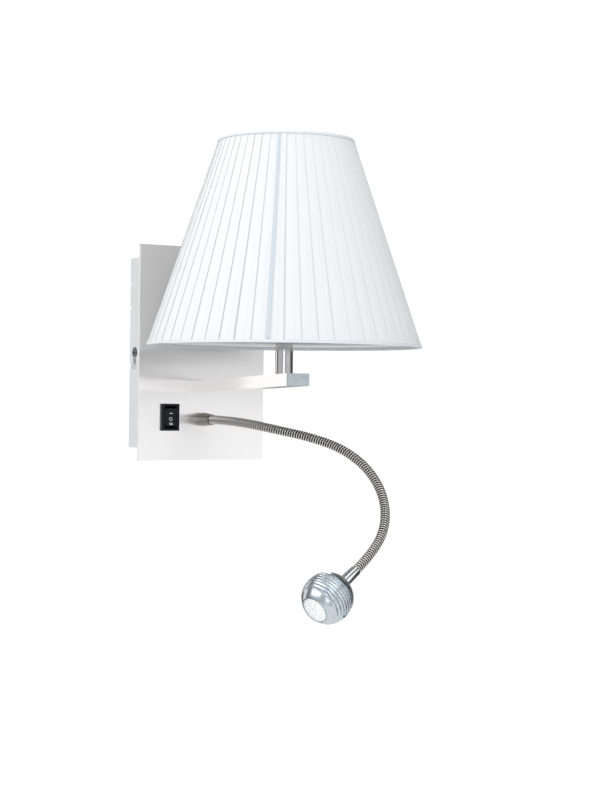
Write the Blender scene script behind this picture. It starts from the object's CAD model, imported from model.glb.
"""Looks of the wall-mounted bedside lamp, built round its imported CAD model.

Everything is in metres, in the CAD's own frame: the wall is the plane y = 0, -Y is the room, +Z is up.
"""

import math

import bmesh
import bpy
import numpy as np
from mathutils import Matrix, Vector


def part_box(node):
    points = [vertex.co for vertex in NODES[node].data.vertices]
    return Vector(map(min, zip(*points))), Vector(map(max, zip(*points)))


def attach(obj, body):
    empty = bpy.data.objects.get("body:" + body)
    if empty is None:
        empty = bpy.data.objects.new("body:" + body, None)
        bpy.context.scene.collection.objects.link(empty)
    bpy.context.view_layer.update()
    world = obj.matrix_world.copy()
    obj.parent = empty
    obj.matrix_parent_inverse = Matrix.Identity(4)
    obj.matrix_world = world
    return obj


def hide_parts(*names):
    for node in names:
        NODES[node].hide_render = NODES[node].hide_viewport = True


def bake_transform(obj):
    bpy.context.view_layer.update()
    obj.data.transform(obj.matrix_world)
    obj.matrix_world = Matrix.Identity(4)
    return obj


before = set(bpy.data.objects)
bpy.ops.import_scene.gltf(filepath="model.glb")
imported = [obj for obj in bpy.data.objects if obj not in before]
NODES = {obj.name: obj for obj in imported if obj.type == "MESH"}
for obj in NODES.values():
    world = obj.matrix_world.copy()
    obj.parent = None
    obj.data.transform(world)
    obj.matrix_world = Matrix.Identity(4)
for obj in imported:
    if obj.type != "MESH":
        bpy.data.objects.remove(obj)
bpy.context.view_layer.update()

MM = 0.001


# ---------------------------------------------------------------- sizes read from the frame

def centre(node):
    """The middle of a CAD node's box."""
    low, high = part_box(node)
    return (Vector(low) + Vector(high)) / 2


FRONT_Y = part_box("front_plate")[0][1]
STEM_X, STEM_Y = centre("stem_tube")[0], centre("stem_tube")[1]
SHADE_LOW, SHADE_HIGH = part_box("shade_fabric")[0][2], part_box("shade_fabric")[1][2]
SHADE_R_LOW = (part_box("shade_fabric")[1][0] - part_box("shade_fabric")[0][0]) / 2
SHADE_R_HIGH = 49 * MM

# Reading head. Heights are along its own axis, from the ball's centre towards the lens.
BALL_R = 18 * MM
FRONT_EDGE = 14.8 * MM
CAVITY_R = 9.4 * MM
CAVITY_FLOOR = 6 * MM
WELL_FLOOR = -6 * MM
WIRE_HOLE_R = 2.2 * MM
# From the hose's end to the ball's centre
HEAD_REACH = 34 * MM
GROOVES = 7
GROOVE_FIRST = -5.2 * MM
GROOVE_PITCH = 2.4 * MM

# Hose, as nine equal stretches between its bending points
HOSE_R = 3.5 * MM
STRETCH = 28 * MM
RIDGE_PITCH = STRETCH / 14
RIDGE_DEPTH = 0.7 * MM
# Rest bend of each stretch, (sideways, upwards) in degrees, the same as in the part's source.
# The values are the rounded result of a curve fit.
BENDS = [(18, -4), (12, -6), (5, -1), (-2, -6), (-8, -16), (-14, -17), (-20, -15), (-23, -11), (-9, -4)]

PLEATS = 54
# Share of a pleat's width that is folded under its neighbour
FOLD_UNDER = 0.38
# Cloth used for each metre of rim: the pleat itself, then under its neighbour and back again
FULLNESS = 1 + 2 * FOLD_UNDER


# ---------------------------------------------------------------- node helpers

def new_material(name):
    """A node material, its node tree and its main shader."""
    mat = bpy.data.materials.new(name)
    mat.use_nodes = True
    tree = mat.node_tree
    return mat, tree, tree.nodes["Principled BSDF"]


def add(tree, kind, props=None, **inputs):
    """A new shader node; an input is a value or a socket to link. Underscores stand for spaces."""
    made = tree.nodes.new("ShaderNode" + kind)
    for key, value in (props or {}).items():
        setattr(made, key, value)
    for key, value in inputs.items():
        if key.startswith("in"):
            socket = made.inputs[int(key[2:])]
        else:
            socket = made.inputs[key.replace("_", " ")]
        if isinstance(value, bpy.types.NodeSocket):
            tree.links.new(value, socket)
        else:
            socket.default_value = value
    return made


def place(tree):
    """Object coordinates: the rest position in metres, which stays with the piece as it moves."""
    return add(tree, "TexCoord").outputs["Object"]


def stretched(tree, scale):
    """Coordinates scaled by (x, y, z), in features per metre."""
    return add(tree, "Mapping", Vector=place(tree), Scale=scale).outputs[0]


def noise(tree, coords, detail=3.0, rough=0.55):
    """Noise of one feature per unit of the coordinates, from 0 to 1."""
    made = add(tree, "TexNoise", Vector=coords, Scale=1.0, Detail=detail, Roughness=rough)
    return made.outputs["Fac"]


def remap(tree, value, low, high, new_low, new_high):
    """The value's range low to high, spread over new_low to new_high."""
    made = add(tree, "MapRange", Value=value, From_Min=low, From_Max=high, To_Min=new_low, To_Max=new_high)
    return made.outputs["Result"]


def blend_colour(tree, factor, first, second):
    """The first colour where the factor is 0 and the second where it is 1."""
    made = add(tree, "Mix", {"data_type": "RGBA"}, in0=factor, in6=first, in7=second)
    return made.outputs[2]


def bump(tree, height, strength, distance):
    """A normal that shows the height as relief."""
    return add(tree, "Bump", Height=height, Strength=strength, Distance=distance).outputs["Normal"]


def rgba(r, g, b):
    """An opaque colour."""
    return (r, g, b, 1.0)


def shaded(colour, factor):
    """The colour made darker, or lighter above 1."""
    return tuple(c * factor for c in colour[:3]) + (1.0,)


# ---------------------------------------------------------------- materials

def brushed_metal(name, colour, grain, tangent_axis, rough=0.3, anisotropy=0.75):
    """Satin metal with fine lines. grain is the lines' frequency along x, y and z, per metre."""
    mat, tree, bsdf = new_material(name)
    lines = noise(tree, stretched(tree, grain), detail=4.0, rough=0.7)
    fine = noise(tree, stretched(tree, tuple(g * 2.7 for g in grain)), detail=2.0)
    cloud = noise(tree, stretched(tree, (14, 14, 14)), detail=2.0)
    tint = blend_colour(tree, remap(tree, lines, 0.3, 0.7, 0, 1), shaded(colour, 0.97), shaded(colour, 1.03))
    tint = blend_colour(tree, remap(tree, cloud, 0.35, 0.7, 0, 0.2), tint, shaded(colour, 0.95))
    tree.links.new(tint, bsdf.inputs["Base Color"])
    tree.links.new(remap(tree, fine, 0.3, 0.7, rough * 0.85, rough * 1.2), bsdf.inputs["Roughness"])
    tree.links.new(bump(tree, lines, 0.06, 0.04 * MM), bsdf.inputs["Normal"])
    tangent = add(tree, "Tangent", {"direction_type": "RADIAL", "axis": tangent_axis})
    tree.links.new(tangent.outputs[0], bsdf.inputs["Tangent"])
    bsdf.inputs["Metallic"].default_value = 1.0
    bsdf.inputs["Anisotropic"].default_value = anisotropy
    return mat


def polished_metal(name, colour, rough=0.08):
    """Bright plated metal with a slight haze and fine wiping marks."""
    mat, tree, bsdf = new_material(name)
    haze = noise(tree, stretched(tree, (60, 60, 60)), detail=3.0)
    marks = noise(tree, stretched(tree, (900, 900, 120)), detail=2.0)
    tree.links.new(blend_colour(tree, haze, shaded(colour, 0.96), colour), bsdf.inputs["Base Color"])
    tree.links.new(remap(tree, haze, 0.3, 0.7, rough * 0.7, rough * 1.5), bsdf.inputs["Roughness"])
    tree.links.new(bump(tree, marks, 0.03, 0.02 * MM), bsdf.inputs["Normal"])
    bsdf.inputs["Metallic"].default_value = 1.0
    return mat


def wound_steel(name, colour):
    """The wound hose: bright on the ridges, with dark oily grooves."""
    mat, tree, bsdf = new_material(name)
    haze = noise(tree, stretched(tree, (300, 300, 300)), detail=3.0)
    groove = add(tree, "Attribute", {"attribute_name": "groove"}).outputs["Fac"]
    steel = blend_colour(tree, haze, shaded(colour, 0.88), colour)
    depth = remap(tree, groove, 0.35, 0.6, 0, 1)
    tree.links.new(blend_colour(tree, depth, steel, shaded(colour, 0.03)), bsdf.inputs["Base Color"])
    tree.links.new(remap(tree, groove, 0.1, 0.6, 0.16, 0.6), bsdf.inputs["Roughness"])
    bsdf.inputs["Metallic"].default_value = 1.0
    return mat


def turned_metal(name, colour, axis, rough=0.16):
    """Lathe-turned metal: faint rings round the given axis."""
    mat, tree, bsdf = new_material(name)
    along = add(tree, "VectorMath", {"operation": "DOT_PRODUCT"}, in0=place(tree), in1=axis).outputs["Value"]
    one_way = {"noise_dimensions": "1D"}
    rings = add(tree, "TexNoise", one_way, W=along, Scale=1500.0, Detail=2.0).outputs["Fac"]
    haze = noise(tree, stretched(tree, (90, 90, 90)), detail=3.0)
    tree.links.new(blend_colour(tree, haze, shaded(colour, 0.93), colour), bsdf.inputs["Base Color"])
    tree.links.new(remap(tree, rings, 0.3, 0.7, rough * 0.8, rough * 1.4), bsdf.inputs["Roughness"])
    tree.links.new(bump(tree, rings, 0.02, 0.03 * MM), bsdf.inputs["Normal"])
    bsdf.inputs["Metallic"].default_value = 1.0
    return mat


def plain_metal(name, colour, rough):
    """Plated or cast metal of the hidden hardware, a little blotchy."""
    mat, tree, bsdf = new_material(name)
    blotch = noise(tree, stretched(tree, (400, 400, 400)), detail=4.0)
    tree.links.new(blend_colour(tree, blotch, shaded(colour, 0.82), colour), bsdf.inputs["Base Color"])
    tree.links.new(remap(tree, blotch, 0.3, 0.7, rough * 0.8, rough * 1.3), bsdf.inputs["Roughness"])
    bsdf.inputs["Metallic"].default_value = 1.0
    return mat


def moulded(name, colour, rough, grain_mm=0.25, depth=0.08, coat=0.0, specular=0.5, glow=0.0):
    """Moulded plastic with a fine spark-eroded grain."""
    mat, tree, bsdf = new_material(name)
    per_metre = 1000 / grain_mm
    grain = noise(tree, stretched(tree, (per_metre,) * 3), detail=2.0)
    cloud = noise(tree, stretched(tree, (35, 35, 35)), detail=2.0)
    tree.links.new(blend_colour(tree, cloud, shaded(colour, 0.94), colour), bsdf.inputs["Base Color"])
    tree.links.new(remap(tree, grain, 0.3, 0.7, rough * 0.85, rough * 1.15), bsdf.inputs["Roughness"])
    tree.links.new(bump(tree, grain, depth, 0.03 * MM), bsdf.inputs["Normal"])
    bsdf.inputs["Specular IOR Level"].default_value = specular
    bsdf.inputs["Coat Weight"].default_value = coat
    bsdf.inputs["Coat Roughness"].default_value = 0.12
    bsdf.inputs["Emission Strength"].default_value = glow
    return mat


def weave_height(tree):
    """A plain weave: two sets of threads, 0.35 mm apart, read round the stem's axis."""
    axis = (STEM_X, STEM_Y, 0.0)
    offset = add(tree, "VectorMath", {"operation": "SUBTRACT"}, in0=place(tree), in1=axis)
    parts = add(tree, "SeparateXYZ", Vector=offset.outputs[0])
    angle = add(tree, "Math", {"operation": "ARCTAN2"}, in0=parts.outputs[1], in1=parts.outputs[0])
    round_about = add(tree, "Math", {"operation": "MULTIPLY"}, in0=angle.outputs[0], in1=75 * MM)
    threads = []
    for value in (round_about.outputs[0], parts.outputs[2]):
        turns = add(tree, "Math", {"operation": "MULTIPLY"}, in0=value, in1=2 * math.pi / (0.35 * MM))
        threads.append(add(tree, "Math", {"operation": "SINE"}, in0=turns.outputs[0]).outputs[0])
    return add(tree, "Math", {"operation": "ADD"}, in0=threads[0], in1=threads[1]).outputs[0]


def cloth(name, colour, through, line_colour=None):
    """Thin white cloth: part of the light goes through. The attribute pleat_line darkens its folds."""
    mat, tree, bsdf = new_material(name)
    slub = noise(tree, stretched(tree, (900, 900, 40)), detail=3.0)
    cloud = noise(tree, stretched(tree, (18, 18, 18)), detail=2.0)
    tint = blend_colour(tree, slub, shaded(colour, 0.965), colour)
    tint = blend_colour(tree, remap(tree, cloud, 0.3, 0.7, 0, 0.3), tint, shaded(colour, 0.96))
    if line_colour is not None:
        line = add(tree, "Attribute", {"attribute_name": "pleat_line"}).outputs["Fac"]
        tint = blend_colour(tree, line, tint, line_colour)
    tree.links.new(tint, bsdf.inputs["Base Color"])
    bsdf.inputs["Roughness"].default_value = 0.85
    bsdf.inputs["Sheen Weight"].default_value = 0.15
    bsdf.inputs["Sheen Roughness"].default_value = 0.4
    tree.links.new(bump(tree, weave_height(tree), 0.10, 0.04 * MM), bsdf.inputs["Normal"])
    glow = add(tree, "BsdfTranslucent", Color=tint)
    mixed = add(tree, "MixShader", in0=through, in1=bsdf.outputs[0], in2=glow.outputs[0])
    tree.links.new(mixed.outputs[0], tree.nodes["Material Output"].inputs["Surface"])
    return mat


def clear_acrylic(name):
    """A thin clear dome: mostly see-through, a little milky, with glossy highlights."""
    mat, tree, bsdf = new_material(name)
    swirl = noise(tree, stretched(tree, (160, 160, 160)), detail=2.0)
    tree.links.new(remap(tree, swirl, 0.3, 0.7, 0.02, 0.06), bsdf.inputs["Roughness"])
    bsdf.inputs["Base Color"].default_value = rgba(0.90, 0.95, 0.97)
    bsdf.inputs["Alpha"].default_value = 0.16
    bsdf.inputs["IOR"].default_value = 1.49
    return mat


def opal_glass(name):
    """The bulb's milky white globe."""
    mat, tree, bsdf = new_material(name)
    cloud = noise(tree, stretched(tree, (50, 50, 50)), detail=2.0)
    white = rgba(0.93, 0.93, 0.91)
    tree.links.new(blend_colour(tree, cloud, shaded(white, 0.97), white), bsdf.inputs["Base Color"])
    bsdf.inputs["Roughness"].default_value = 0.25
    bsdf.inputs["Subsurface Weight"].default_value = 0.4
    bsdf.inputs["Subsurface Radius"].default_value = (4 * MM, 4 * MM, 4 * MM)
    return mat


def phosphor(name):
    """The LED's yellow face, faintly lit."""
    mat, tree, bsdf = new_material(name)
    grains = noise(tree, stretched(tree, (3000, 3000, 3000)), detail=2.0)
    yellow = rgba(0.96, 0.92, 0.76)
    tree.links.new(blend_colour(tree, grains, shaded(yellow, 0.85), yellow), bsdf.inputs["Base Color"])
    bsdf.inputs["Roughness"].default_value = 0.2
    bsdf.inputs["Emission Color"].default_value = rgba(1.0, 0.98, 0.93)
    bsdf.inputs["Emission Strength"].default_value = 0.7
    return mat


# ---------------------------------------------------------------- mesh helpers

def mesh_piece(name, verts, faces, mat, smooth=True):
    """A new object in the scene, made of points in metres and faces that number them."""
    mesh = bpy.data.meshes.new(name)
    mesh.from_pydata([tuple(v) for v in verts], [], faces)
    mesh.validate()
    for polygon in mesh.polygons:
        polygon.use_smooth = smooth
    mesh.materials.append(mat)
    obj = bpy.data.objects.new(name, mesh)
    bpy.context.scene.collection.objects.link(obj)
    return obj


def paint_points(piece, name, values):
    """Stores one number for each of the piece's points, for its material to read."""
    attribute = piece.data.attributes.new(name, "FLOAT", "POINT")
    attribute.data.foreach_set("value", np.array(values, np.float32))


def frame_on(axis):
    """Two directions across an axis, so that (across, other, axis) is right-handed."""
    axis = Vector(axis).normalized()
    helper = Vector((0, 0, 1)) if abs(axis.z) < 0.9 else Vector((1, 0, 0))
    across = helper.cross(axis).normalized()
    return across, axis.cross(across), axis


def lathe(name, profile, origin, axis, mat, segments=96, sharp_deg=35, closed=False):
    """Turns a profile of (radius, along) points round an axis. Sharp corners keep a crisp edge."""
    across, other, along = frame_on(axis)
    origin = Vector(origin)
    verts = []
    for radius, height in profile:
        for i in range(segments):
            a = 2 * math.pi * i / segments
            ring = across * math.cos(a) + other * math.sin(a)
            verts.append(origin + ring * radius + along * height)
    faces = []
    rows = len(profile)
    for row in range(rows if closed else rows - 1):
        low, high = row * segments, (row + 1) % rows * segments
        for i in range(segments):
            j = (i + 1) % segments
            faces.append((low + i, low + j, high + j, high + i))
    obj = mesh_piece(name, verts, faces, mat)
    mark_sharp(obj, sharp_deg)
    return obj


def mark_sharp(obj, degrees):
    """Welds doubles and makes every edge above the angle a crisp one."""
    work = bmesh.new()
    work.from_mesh(obj.data)
    bmesh.ops.remove_doubles(work, verts=work.verts, dist=1e-7)
    bmesh.ops.recalc_face_normals(work, faces=work.faces)
    for edge in work.edges:
        if len(edge.link_faces) == 2 and edge.calc_face_angle() > math.radians(degrees):
            edge.smooth = False
    work.to_mesh(obj.data)
    work.free()


def soften(obj, width):
    """Rounds a CAD node's edges for the render, leaving its mesh as it is."""
    made = obj.modifiers.new("edges", "BEVEL")
    made.width = width
    made.segments = 3
    made.limit_method = "ANGLE"
    made.angle_limit = math.radians(40)
    made.harden_normals = True


def dress(mat, *names):
    """Gives CAD nodes a material."""
    for name in names:
        slots = NODES[name].data.materials
        slots.clear()
        slots.append(mat)


# ---------------------------------------------------------------- camera, lights and floor

def make_camera():
    """Level but for a slight roll, from the left front, with a long lens."""
    azimuth, roll = math.radians(30.74), math.radians(0.68)
    distance = 1.414
    ahead = Vector((math.sin(azimuth), math.cos(azimuth), 0))
    right = Vector((math.cos(azimuth), -math.sin(azimuth), 0))
    up = Vector((0, 0, 1))
    tilted_right = right * math.cos(roll) + up * math.sin(roll)
    tilted_up = up * math.cos(roll) - right * math.sin(roll)
    data = bpy.data.cameras.new("camera")
    data.lens = 81
    data.sensor_width = 36
    camera = bpy.data.objects.new("camera", data)
    bpy.context.scene.collection.objects.link(camera)
    turn = Matrix((tilted_right, tilted_up, -ahead)).transposed().to_4x4()
    aim = Vector((65.8, -68.6, -35.4)) * MM
    camera.matrix_world = Matrix.Translation(aim - ahead * distance) @ turn
    bpy.context.scene.camera = camera


def area_light(name, place_at, aim, size, power, colour=(1, 1, 1)):
    """A soft rectangular light, its size in metres and its power in watts."""
    data = bpy.data.lights.new(name, "AREA")
    data.shape = "RECTANGLE"
    data.size, data.size_y = size
    data.energy = power
    data.color = colour
    light = bpy.data.objects.new(name, data)
    bpy.context.scene.collection.objects.link(light)
    light.location = place_at
    light.rotation_euler = (Vector(aim) - Vector(place_at)).to_track_quat("-Z", "Y").to_euler()


def make_world():
    """White behind everything for the camera; the light itself comes from the front half of the room."""
    world = bpy.data.worlds.new("studio")
    bpy.context.scene.world = world
    world.use_nodes = True
    tree = world.node_tree
    background = tree.nodes["Background"]
    direction = add(tree, "TexCoord").outputs["Generated"]
    into_wall = (0.51, 0.86, 0.0)
    ahead = add(tree, "VectorMath", {"operation": "DOT_PRODUCT"}, in0=direction, in1=into_wall)
    ramp = add(tree, "ValToRGB", Fac=remap(tree, ahead.outputs["Value"], -1, 1, 0, 1))
    stops = ramp.color_ramp.elements
    stops[0].position, stops[0].color = 0.0, rgba(0.56, 0.57, 0.60)
    stops[1].position, stops[1].color = 1.0, rgba(0.42, 0.43, 0.45)
    for position, grey in ((0.2, 0.62), (0.32, 0.62), (0.45, 0.4), (0.58, 0.10), (0.8, 0.07), (0.95, 0.2)):
        stops.new(position).color = rgba(grey, grey, grey * 1.02)
    tree.links.new(ramp.outputs[0], background.inputs["Color"])
    background.inputs["Strength"].default_value = 1.0
    white = add(tree, "Background", Color=rgba(1, 1, 1), Strength=1.05)
    seen = add(tree, "LightPath").outputs["Is Camera Ray"]
    mixed = add(tree, "MixShader", in0=seen, in1=background.outputs[0], in2=white.outputs[0])
    tree.links.new(mixed.outputs[0], tree.nodes["World Output"].inputs["Surface"])


def make_stage():
    """The plain pale floor, well below the lamp."""
    floor_z = -0.9
    side = 1.6
    mat, tree, bsdf = new_material("floor")
    cloud = noise(tree, stretched(tree, (3, 3, 3)), detail=2.0)
    pale = rgba(0.88, 0.88, 0.88)
    tree.links.new(blend_colour(tree, cloud, shaded(pale, 0.995), pale), bsdf.inputs["Base Color"])
    bsdf.inputs["Roughness"].default_value = 0.9
    bsdf.inputs["Emission Color"].default_value = rgba(1, 1, 1)
    bsdf.inputs["Emission Strength"].default_value = 0.12
    corners = [(-side, -side, floor_z), (side, -side, floor_z), (side, side, floor_z), (-side, side, floor_z)]
    floor = mesh_piece("floor", corners, [(0, 1, 2, 3)], mat, smooth=False)


def make_lights():
    """Large soft lights and reflector cards; the lamp itself is off but for a faint LED."""
    middle = (0, -0.12, 0)
    area_light("key", (-1.5, -0.25, 0.75), middle, (1.5, 1.2), 11)
    area_light("front", (-0.3, -1.9, 1.5), middle, (1.6, 1.0), 15.5)
    area_light("camera_card", (-1.1, -2.0, 0.0), middle, (0.5, 1.5), 3.5)
    area_light("shade_back", (-0.7, 0.5, 1.2), (0, -0.05, 0.1), (0.8, 0.8), 12, (1, 0.955, 0.92))
    area_light("plate_card", (1.3, -1.9, -0.78), (0, -0.1, -0.1), (2.4, 1.6), 8.5)
    area_light("upper_card", (1.35, -2.1, 0.66), (0, -0.1, 0.05), (2.4, 1.1), 9)
    area_light("top", (0.2, -0.5, 1.7), middle, (1.2, 0.9), 7)
    area_light("back", (0.9, 1.5, 0.9), middle, (0.5, 0.9), 6)
    area_light("side_card", (-0.95, 1.6, 0.0), middle, (0.8, 1.3), 4)


# ---------------------------------------------------------------- gooseneck

def arc(start, basis, sideways, upwards, count):
    """Points on one stretch's arc, and the basis (side, up, heading) at its end."""
    side, up, heading = basis
    bend = math.hypot(sideways, upwards)
    toward = (side * sideways + up * upwards) / bend
    radius = STRETCH / math.radians(bend)
    points = []
    for i in range(count + 1):
        a = math.radians(bend) * i / count
        points.append(start + heading * (radius * math.sin(a)) + toward * (radius * (1 - math.cos(a))))
    turn = Matrix.Rotation(math.radians(bend), 3, heading.cross(toward))
    return points, tuple(turn @ v for v in basis)


def hose_route(steps):
    """The hose's centre line, one list of points for each stretch, and the basis at its end."""
    start = Vector((0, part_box("neck_seg_0")[1][1], centre("neck_collar").z))
    basis = (Vector((1, 0, 0)), Vector((0, 0, 1)), Vector((0, -1, 0)))
    stretches = []
    for sideways, upwards in BENDS:
        points, basis = arc(start, basis, sideways, upwards, steps)
        stretches.append(points)
        start = points[-1]
    return stretches, basis


def ridge(turns):
    """Height of the wound hose's surface, from 0 in a groove to 1 on a ridge."""
    return (0.5 - 0.5 * math.cos(2 * math.pi * turns)) ** 0.8


def hose_mesh(name, points, offset_turns, mat, around=28):
    """A tube with a helical ridge along a list of evenly spaced points."""
    verts, faces, grooves = [], [], []
    tangent = (points[1] - points[0]).normalized()
    across, _, _ = frame_on(tangent)
    run = 0.0
    for i, p in enumerate(points):
        ahead = points[min(i + 1, len(points) - 1)]
        behind = points[max(i - 1, 0)]
        tangent = (ahead - behind).normalized()
        across = (across - tangent * across.dot(tangent)).normalized()
        other = tangent.cross(across)
        if i:
            run += (p - points[i - 1]).length
        for k in range(around):
            share = k / around
            a = 2 * math.pi * share
            groove = 1 - ridge(offset_turns + run / RIDGE_PITCH + share)
            r = HOSE_R - RIDGE_DEPTH * groove
            verts.append(p + across * (r * math.cos(a)) + other * (r * math.sin(a)))
            grooves.append(groove)
        if i:
            low, high = (i - 1) * around, i * around
            for k in range(around):
                n = (k + 1) % around
                faces.append((low + k, low + n, high + n, high + k))
    piece = mesh_piece(name, verts, faces, mat)
    paint_points(piece, "groove", grooves)
    return piece


def make_hose(mat):
    """The hose, cut at the middle of each stretch so that every piece bends across one joint."""
    per_ridge = 10
    steps = 2 * round(STRETCH / RIDGE_PITCH * per_ridge / 2)
    stretches, _ = hose_route(steps)
    half = steps // 2
    line = [p for points in stretches for p in points[:-1]] + [stretches[-1][-1]]
    last = len(stretches) - 1
    for i in range(last + 2):
        first = 0 if i == 0 else (i - 1) * steps + half
        end = len(line) - 1 if i == last + 1 else i * steps + half
        part = line[first : end + 1]
        piece = hose_mesh(f"hose_{i}", part, first / per_ridge, mat)
        if i == 0:
            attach(piece, "root")
            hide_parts("neck_seg_0")
        elif i == last + 1:
            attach(piece, "head")
        else:
            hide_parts(f"neck_seg_{i}")
            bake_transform(piece)


# ---------------------------------------------------------------- reading head

def on_ball(z):
    """The ball's radius across its axis, at height z."""
    return math.sqrt(BALL_R ** 2 - z ** 2)


def ball_arc(z_from, z_to, count, r=BALL_R):
    """Profile points along the ball's surface between two heights."""
    angles = np.linspace(math.asin(z_from / r), math.asin(z_to / r), count)
    return [(r * math.cos(a), r * math.sin(a)) for a in angles]


def groove_profile(z):
    """One turned groove with rounded shoulders, centred at height z."""
    half, depth = 0.6 * MM, 1.1 * MM
    floor_r = on_ball(z) - depth
    left = [
        (on_ball(z - half - 0.25 * MM), z - half - 0.25 * MM),
        (on_ball(z - half) - 0.12 * MM, z - half - 0.05 * MM),
        (on_ball(z - half) - 0.45 * MM, z - half + 0.08 * MM),
        (floor_r + 0.15 * MM, z - half + 0.14 * MM),
        (floor_r, z - half * 0.5),
    ]
    right = [(r - on_ball(z - half) + on_ball(z + half), 2 * z - h) for r, h in left[:3]]
    right += [(r, 2 * z - h) for r, h in left[3:]]
    return left + right[::-1]


def head_profile():
    """The ball's outline with rounded fins, from the rear flat to the front edge, then its inside."""
    rear = -BALL_R + MM
    last = GROOVE_FIRST + (GROOVES - 1) * GROOVE_PITCH
    outline = [(WIRE_HOLE_R, rear), (4.6 * MM, rear)] + ball_arc(rear, GROOVE_FIRST - 0.9 * MM, 16)
    for i in range(GROOVES):
        outline += groove_profile(GROOVE_FIRST + i * GROOVE_PITCH)
    outline += ball_arc(last + 1.1 * MM, FRONT_EDGE - 0.35 * MM, 14)
    edge_r = on_ball(FRONT_EDGE)
    return outline + [
        (edge_r - 0.02 * MM, FRONT_EDGE - 0.12 * MM),
        (edge_r - 0.3 * MM, FRONT_EDGE),
        (CAVITY_R + 0.2 * MM, FRONT_EDGE),
        (CAVITY_R, FRONT_EDGE - 0.2 * MM),
        (CAVITY_R, CAVITY_FLOOR),
        (CAVITY_R - MM, CAVITY_FLOOR),
        (CAVITY_R - MM, WELL_FLOOR),
        (WIRE_HOLE_R, WELL_FLOOR),
    ]


def head_piece(name, profile, mat, replaced, segments=128, closed=False, sharp_deg=35):
    """A piece turned round the head's axis, which takes the place of a CAD node."""
    piece = lathe(name, profile, BALL, HEAD_AXIS, mat, segments, sharp_deg, closed)
    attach(piece, "head")
    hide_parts(replaced)


def make_ball(mat):
    """The aluminium ball, with its turned grooves and its hollow for the LED."""
    head_piece("ball_shell", head_profile(), mat, "head_shell", 160, sharp_deg=50)


def make_lens(mat):
    """A thin clear dome that completes the ball's curve over its front opening."""
    foot = FRONT_EDGE + 0.1 * MM
    inner_r, outer_r = BALL_R - 1.6 * MM, BALL_R - 0.03 * MM
    outer = ball_arc(foot, outer_r - 1e-6, 26, outer_r)
    inner = ball_arc(foot, inner_r - 1e-6, 20, inner_r)
    head_piece("front_lens", outer + inner[::-1], mat, "head_lens", closed=True)


def make_seal(mat):
    """The thin dark ring under the lens's edge."""
    low, high = FRONT_EDGE, FRONT_EDGE + 0.08 * MM
    inner_r, outer_r = 9.5 * MM, 10.02 * MM
    profile = [(inner_r, low), (outer_r, low), (outer_r, high), (inner_r, high)]
    piece = lathe("lens_seal", profile, BALL, HEAD_AXIS, mat, closed=True)
    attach(piece, "head")


def make_cup(mat):
    """The reflector: a bowl that opens from the LED to the front edge."""
    low, high = 7.8 * MM, FRONT_EDGE
    throat = 3.9 * MM
    bowl = [(throat, low + 0.5 * MM)]
    for i in range(1, 15):
        share = i / 14
        radius = throat + (CAVITY_R - 5.2 * MM) * share ** 0.8
        bowl.append((radius, low + 0.5 * MM + (high - low - 0.9 * MM) * share ** 1.25))
    rim = [(CAVITY_R - 0.15 * MM, high - 0.35 * MM), (CAVITY_R - 0.1 * MM, high - 1.6 * MM)]
    back = [(CAVITY_R - 0.6 * MM, high - 1.6 * MM), (4.4 * MM, low)]
    head_piece("bright_cup", bowl + rim + back, mat, "head_reflector", closed=True)


def make_sleeve(mat):
    """The tapered sleeve between hose and ball, as (radius, distance from the hose) in mm."""
    profile = [(2, 0), (3.5, 0), (3.72, 0.2), (3.78, 0.5), (4.22, 16.2), (4.2, 16.7), (3.9, 17), (2, 17)]
    profile = [(r * MM, h * MM - HEAD_REACH) for r, h in profile]
    head_piece("end_sleeve", profile, mat, "neck_sleeve", 64)


def make_screw(mat):
    """The small fixing screw's face, standing just proud of the ball."""
    turn, height = math.radians(30), 3.2 * MM
    out = hose_end[0] * math.cos(turn) + hose_end[1] * math.sin(turn)
    spot = BALL + out * on_ball(height) + HEAD_AXIS * height
    away = (spot - BALL).normalized()
    face = 0.1 * MM
    profile = [(0.01 * MM, -0.3 * MM), (0.62 * MM, -0.3 * MM), (0.66 * MM, face), (1.1 * MM, face),
               (1.25 * MM, face - 0.1 * MM), (1.25 * MM, -1.2 * MM)]
    piece = lathe("fixing_screw", profile, spot, away, mat, segments=24)
    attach(piece, "head")
    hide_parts("head_screw")


# ---------------------------------------------------------------- shade

def cloth_r(z):
    """The shade's outer radius at height z."""
    share = (z - SHADE_LOW) / (SHADE_HIGH - SHADE_LOW)
    return SHADE_R_LOW + share * (SHADE_R_HIGH - SHADE_R_LOW)


def wobble(i, seed):
    """A repeatable value between -1 and 1 for pleat i."""
    return math.sin(i * 12.9898 + seed * 78.233) * 0.6 + math.sin(i * 4.1414 + seed * 3.7) * 0.4


def pleat_section():
    """One knife pleat as (share of the pitch, depth in layers, line strength) from its hidden start on."""
    under = FOLD_UNDER
    points = [(-under, 2.0, 0.2), (-under * 0.5, 1.8, 0.0), (-0.01, 1.55, 1.0), (0.008, 1.5, 0.95)]
    points += [(0.028, 1.45, 0.75), (0.044, 1.43, 0.02)]
    for share in (0.3, 0.5, 0.595, 0.62, 0.645, 0.8):
        tone = 0.42 if share == 0.62 else 0.0
        points.append((share, 1.42 * (1 - share) ** 1.15, tone))
    points += [(0.955, 0.06, 0.02), (0.985, 0.0, 0.8), (1.0, 0.12, 0.9), (0.99, 0.5, 0.6)]
    points += [(1 - under * 0.5, 0.9, 0.2), (1 - under + 0.01, 1.1, 0.2), (1 - under - 0.005, 1.5, 0.2)]
    return points


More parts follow.
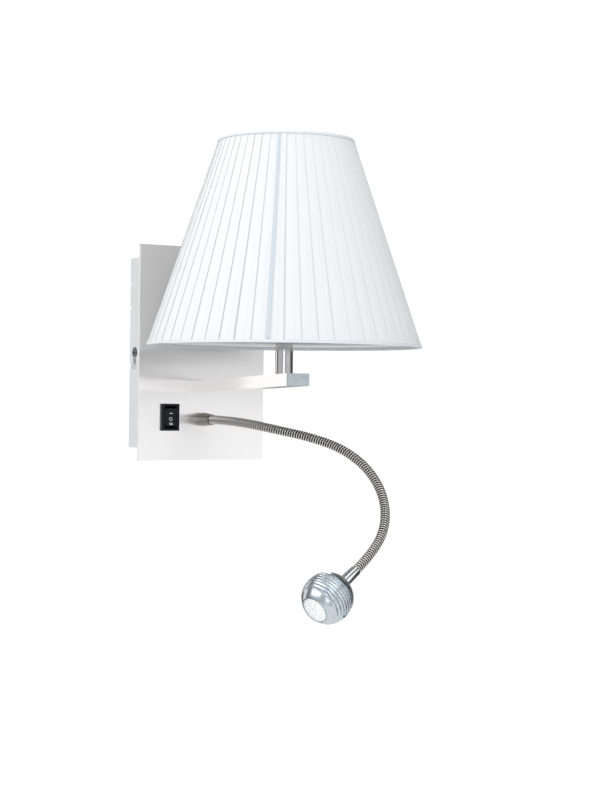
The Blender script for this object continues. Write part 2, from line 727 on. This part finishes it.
def make_cloth(mat):
    """The pleated cloth, one sheet of knife pleats, with its slant height and its flat edges."""
    layer = 0.2 * MM
    rows = 30
    section = pleat_section()
    verts, faces, lines = [], [], []
    low, high = SHADE_LOW + 0.6 * MM, SHADE_HIGH - 0.6 * MM
    for row in range(rows + 1):
        share = row / rows
        z = low + (high - low) * share
        r = cloth_r(z) - 0.1 * MM
        for i in range(PLEATS):
            shift = 0.05 * wobble(i, 1) + 0.03 * wobble(i, 2) * math.sin(3 * share + wobble(i, 3) * 3)
            lift = 0.12 * wobble(i, 5) * math.sin(math.pi * share)
            shade = 0.66 + 0.34 * wobble(i, 7)
            for across, depth, line in section:
                moved = shift * (0 if across < 0 else min(1, across * 3))
                angle = 2 * math.pi * (i + across + moved) / PLEATS
                radius = r - layer * max(0.0, depth + lift * (1 if 0.05 < across < 1 else 0))
                verts.append((STEM_X + radius * math.cos(angle), STEM_Y + radius * math.sin(angle), z))
                lines.append(line * shade)
    count = len(section) * PLEATS
    for row in range(rows):
        for k in range(count):
            n = (k + 1) % count
            above = count * (row + 1)
            faces.append((row * count + k, row * count + n, above + n, above + k))
    piece = mesh_piece("pleats", verts, faces, mat)
    paint_points(piece, "pleat_line", lines)
    slant = math.hypot(high - low, SHADE_R_LOW - SHADE_R_HIGH)
    widest = 2 * math.pi * SHADE_R_LOW * FULLNESS
    narrowest = 2 * math.pi * SHADE_R_HIGH * FULLNESS
    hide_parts("shade_fabric")
    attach(piece, "root")
    return piece, slant, widest, narrowest


def band(name, z_low, z_high, proud, mat, stitched, puff=0.15 * MM):
    """A narrow binding round the shade, with a soft bulge and a darker crease along its inner edge."""
    profile = []
    for share in (0, 0.1, 0.14, 0.3, 0.5, 0.7, 0.86, 0.9, 1):
        z = z_low + (z_high - z_low) * share
        profile.append((cloth_r(z) + proud + puff * math.sin(math.pi * share), z))
    for share in (1, 0):
        z = z_low + (z_high - z_low) * share
        profile.append((cloth_r(z) - 2.9 * MM, z))
    piece = lathe(name, profile, (STEM_X, STEM_Y, 0), (0, 0, 1), mat, segments=176, closed=True)
    crease = 0.11 * (z_high - z_low)
    paint_points(piece, "pleat_line", [abs(v.co.z - stitched) < crease for v in piece.data.vertices])
    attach(piece, "root")
    return piece


def make_seam(mat):
    """The strip where the pleated cloth's two ends overlap, towards the room's left."""
    facing = math.radians(-90 - 36.8)
    low_width, high_width = 3.1, 1.7
    rows, columns = 30, 6
    verts, faces = [], []
    for row in range(rows + 1):
        share = row / rows
        z = SHADE_LOW + 3 * MM + (SHADE_HIGH - SHADE_LOW - 5.5 * MM) * share
        width = (low_width + (high_width - low_width) * share) * MM
        lean = 0.6 * MM * math.sin(2.2 * share)
        for layer in (0, 1):
            for column in range(columns + 1):
                side = column / columns - 0.5
                radius = cloth_r(z) + (0.30 - 0.25 * layer - 0.5 * abs(side) ** 3) * MM
                angle = facing + (side * width + lean) / cloth_r(z)
                verts.append((STEM_X + radius * math.cos(angle), STEM_Y + radius * math.sin(angle), z))
    per_row = 2 * (columns + 1)
    ring = list(range(columns + 1)) + [per_row - 1 - c for c in range(columns + 1)]
    for row in range(rows):
        for k in range(per_row):
            a, b = ring[k], ring[(k + 1) % per_row]
            above = per_row * (row + 1)
            faces.append((row * per_row + a, row * per_row + b, above + b, above + a))
    faces.append(tuple(ring[::-1]))
    faces.append(tuple(rows * per_row + k for k in ring))
    piece = mesh_piece("seam_strip", verts, faces, mat)
    mark_sharp(piece, 50)
    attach(piece, "root")
    return piece


# ---------------------------------------------------------------- switch marks

def raised(name, outlines, origin, right, up, out, thickness, mat, body):
    """Flat marks on a face: each outline is a list of (right, up) points in metres."""
    verts, faces = [], []
    for outline in outlines:
        base = len(verts)
        count = len(outline)
        for height in (0.0, thickness):
            for a, b in outline:
                verts.append(origin + right * a + up * b + out * height)
        faces.append(tuple(base + count + k for k in range(count)))
        faces.append(tuple(base + k for k in reversed(range(count))))
        for k in range(count):
            n = (k + 1) % count
            faces.append((base + k, base + n, base + count + n, base + count + k))
    piece = mesh_piece(name, verts, faces, mat, smooth=False)
    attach(piece, body)


def bar(x, y, width, height):
    """A rectangle's corners round its middle."""
    w, h = width / 2, height / 2
    return [(x - w, y - h), (x + w, y - h), (x + w, y + h), (x - w, y + h)]


def ring_parts(x, y, r, thickness, parts=16):
    """A small ring as a row of four-cornered pieces."""
    made = []
    for i in range(parts):
        a, b = 2 * math.pi * i / parts, 2 * math.pi * (i + 1) / parts
        made.append([
            (x + (r - thickness) * math.cos(a), y + (r - thickness) * math.sin(a)),
            (x + r * math.cos(a), y + r * math.sin(a)),
            (x + r * math.cos(b), y + r * math.sin(b)),
            (x + (r - thickness) * math.cos(b), y + (r - thickness) * math.sin(b)),
        ])
    return made


def make_marks(mat):
    """One bar, a ring and two bars, lying across the rocker as the marks for 1, 0 and 2."""
    middle = centre("switch_rocker")
    pivot_y = FRONT_Y + 2 * MM
    trough, edge, half = 3.6 * MM, 5.0 * MM, 6.75 * MM
    slope = math.atan2(edge - trough, half)
    for side, name, shapes in (
        (1, "mark_one", [bar(0, 3.1 * MM, 2.9 * MM, 0.45 * MM)]),
        (-1, "mark_two", [bar(0, 4.7 * MM, 2.9 * MM, 0.4 * MM), bar(0, 5.8 * MM, 2.9 * MM, 0.4 * MM)]),
        (-1, "mark_zero", ring_parts(0, 1.5 * MM, 1.4 * MM, 0.32 * MM)),
    ):
        up = Vector((0, -math.sin(slope), side * math.cos(slope)))
        out = Vector((0, -math.cos(slope), -side * math.sin(slope)))
        origin = Vector((middle.x, pivot_y - trough, middle.z)) + out * 0.005 * MM
        raised(name, shapes, origin, Vector((1, 0, 0)), up, out, 0.04 * MM, mat, "rocker")


# ---------------------------------------------------------------- build

bpy.context.scene.view_settings.view_transform = "Standard"
make_camera()
make_world()
make_stage()
make_lights()

route, hose_end = hose_route(2)
HEAD_AXIS = hose_end[2]
BALL = route[-1][-1] + HEAD_AXIS * HEAD_REACH

plate_metal = brushed_metal("plate_metal", rgba(0.76, 0.75, 0.745), (4200, 4200, 14), "Z", 0.21, 0.85)
cap_metal = plain_metal("cap_metal_satin", rgba(0.50, 0.56, 0.585), 0.45)
collar_metal = polished_metal("collar_metal", rgba(0.30, 0.275, 0.245), rough=0.2)
sleeve_metal = polished_metal("sleeve_metal", rgba(0.66, 0.67, 0.68), rough=0.1)
arm_metal = brushed_metal("arm_metal", rgba(0.82, 0.805, 0.79), (4200, 14, 4200), "Y", 0.24, 0.8)
box_metal = brushed_metal("box_metal", rgba(0.76, 0.77, 0.78), (4200, 4200, 30), "Z", 0.32, 0.5)
shiny = polished_metal("shiny_nickel", rgba(0.70, 0.69, 0.68))
hose_metal = wound_steel("hose_metal", rgba(0.60, 0.59, 0.57))
ball_metal = turned_metal("ball_metal", rgba(0.58, 0.64, 0.68), tuple(HEAD_AXIS), 0.23)
zinc = plain_metal("zinc", rgba(0.66, 0.68, 0.70), 0.38)
brass = plain_metal("brass", rgba(0.78, 0.62, 0.32), 0.3)
screw_steel = plain_metal("screw_steel", rgba(0.20, 0.20, 0.21), 0.35)
black_steel = plain_metal("black_steel", rgba(0.06, 0.065, 0.07), 0.4)
cup_white = moulded("cup_white", rgba(0.90, 0.92, 0.93), 0.25, grain_mm=0.6, depth=0.03, coat=0.3, glow=0.07)
black = moulded("black_plastic", rgba(0.006, 0.008, 0.012), 0.3, specular=0.15)
white_plastic = moulded("white_plastic", rgba(0.85, 0.84, 0.80), 0.45)
wire_cover = moulded("wire_cover", rgba(0.86, 0.86, 0.84), 0.4, grain_mm=0.6)
foam = moulded("foam", rgba(0.6, 0.6, 0.58), 0.9, grain_mm=0.5, depth=0.6)
white_paint = moulded("white_paint", rgba(0.86, 0.86, 0.85), 0.35, grain_mm=0.8)
mark_paint = moulded("mark_paint", rgba(0.9, 0.9, 0.9), 0.5)
led_white = moulded("led_white", rgba(0.88, 0.88, 0.87), 0.4)
opal = opal_glass("opal")
bulb_white = moulded("bulb_white", rgba(0.88, 0.88, 0.87), 0.3, grain_mm=1.0, coat=0.3)
phosphor_mat = phosphor("phosphor")
acrylic = clear_acrylic("acrylic")
film = cloth("liner_film", rgba(0.93, 0.945, 0.955), 0.5)
pleat_cloth = cloth("pleat_cloth", rgba(0.885, 0.905, 0.915), 0.28, line_colour=rgba(0.57, 0.615, 0.65))
trim_cloth = cloth("trim_cloth", rgba(0.70, 0.745, 0.775), 0.1, line_colour=rgba(0.60, 0.65, 0.69))
seam_cloth = cloth("seam_cloth", rgba(0.585, 0.64, 0.685), 0.1)

dress(plate_metal, "front_plate")
dress(arm_metal, "arm_tube")
dress(cap_metal, "arm_end_cap")
dress(collar_metal, "neck_collar")
dress(box_metal, "back_box")
dress(shiny, "stem_tube", "bulb_cap")
dress(screw_steel, "side_screws")
dress(zinc, "wall_bracket", "bracket_nuts", "plate_studs", "plate_nuts", "arm_foot",
      "arm_screws", "neck_washer", "neck_nut", "terminal_screws")
dress(brass, "earth_screw", "stem_nipple", "stem_nut", "holder_contacts", "switch_terminals")
dress(black, "switch_housing", "switch_rocker")
dress(white_plastic, "holder_cap", "holder_barrel", "shade_nuts", "driver_case", "terminal_block")
dress(white_paint, "shade_frame", "shade_bottom_ring")
dress(film, "shade_liner")
dress(bulb_white, "bulb_body")
dress(opal, "bulb_globe")
dress(wire_cover, "lead_lamp", "lead_neck", "lead_switch")
dress(foam, "driver_pad")
dress(led_white, "led_board")
dress(phosphor_mat, "led_chip")

for node_name, width in (
    ("front_plate", 0.25), ("back_box", 0.3), ("arm_tube", 0.9), ("arm_end_cap", 0.45),
    ("switch_housing", 0.45), ("switch_rocker", 0.4), ("driver_case", 0.8), ("terminal_block", 0.4),
    ("wall_bracket", 0.2),
):
    soften(NODES[node_name], width * MM)

make_hose(hose_metal)
make_ball(ball_metal)
make_lens(acrylic)
make_seal(black_steel)
make_cup(cup_white)
make_sleeve(sleeve_metal)
make_screw(black_steel)

pleats, slant, widest, narrowest = make_cloth(pleat_cloth)
seam = make_seam(seam_cloth)
bands = [
    band("bottom_binding", SHADE_LOW, SHADE_LOW + 1.9 * MM, 0.1 * MM, trim_cloth, SHADE_LOW + 1.9 * MM),
    band("top_binding", SHADE_HIGH - 2.2 * MM, SHADE_HIGH, 0.1 * MM, trim_cloth, SHADE_HIGH - 2.2 * MM),
]
make_marks(mark_paint)
